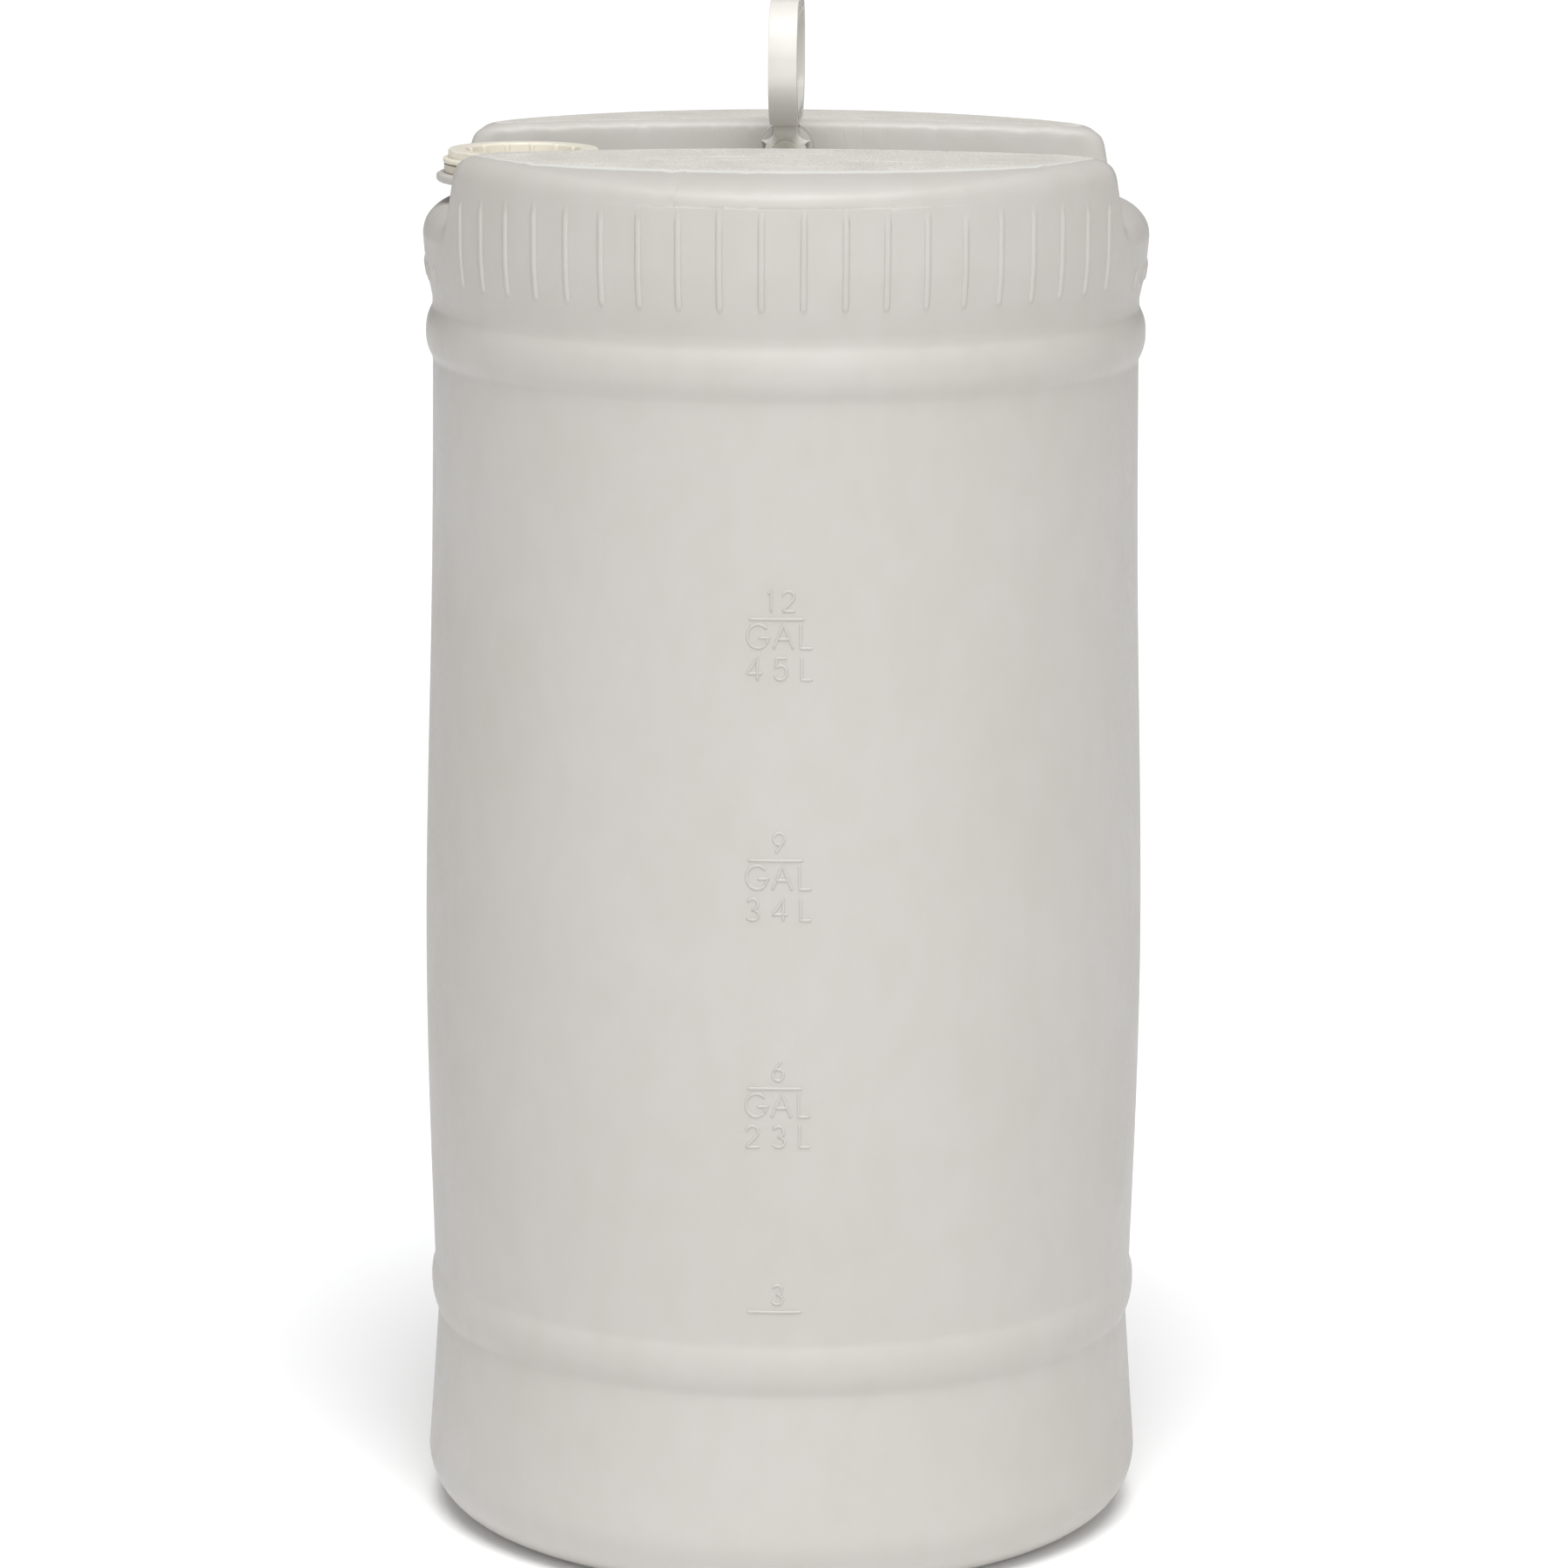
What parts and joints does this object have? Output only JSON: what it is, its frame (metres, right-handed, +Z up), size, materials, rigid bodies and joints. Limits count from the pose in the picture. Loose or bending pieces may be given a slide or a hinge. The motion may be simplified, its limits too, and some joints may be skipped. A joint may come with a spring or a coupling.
{
  "type": "closed-head plastic drum",
  "caption": "Tall blow-moulded plastic drum for fermenting, closed head with raised crescents, a screw cap in the channel between them and a fold-down carrying handle.",
  "frame": {"origin": "centre of the base, on the floor", "axes": "+Z up along the drum's axis, +X along the channel away from the cap, -Y towards the graduated front"},
  "size_m": [0.3629, 0.3637, 0.771],
  "materials": {
    "natural_polyethylene": "natural, milky and slightly translucent, satin, scuffed on the crescent tops",
    "cap_plastic": "cream, satin",
    "seal_foam": "white foamed liner",
    "band_plastic": "cream, satin",
    "handle_plastic": "natural, satin",
    "pin_plastic": "natural nylon, light gloss"
  },
  "bodies": {
    "drum": {"drum_body": "natural_polyethylene", "tamper_band": "band_plastic", "handle_pin": "pin_plastic", "pin_retainer": "pin_plastic"},
    "seal": {"cap_gasket": "seal_foam"},
    "cap": {"screw_cap": "cap_plastic"},
    "handle": {"handle": "handle_plastic"}
  },
  "joints": [
    {"name": "handle_fold", "type": "hinge", "parent": "drum", "child": "handle", "pos_m": [0, 0, 0.6945], "axis": [0.0349, 0.9994, 0], "range_deg": [-94, 94]},
    {"name": "cap_lift", "type": "slide", "parent": "drum", "child": "seal", "axis": [0, 0, 1], "range_m": [0, 0.0046]},
    {"name": "cap_turn", "type": "hinge", "parent": "seal", "child": "cap", "pos_m": [-0.1306, 0, 0.6865], "axis": [0, 0, 1], "range_deg": [0, 540]}
  ],
  "couplings": [
    {"joint": "cap_lift", "follows": "cap_turn", "m_per_rad": 0.00047746}
  ]
}
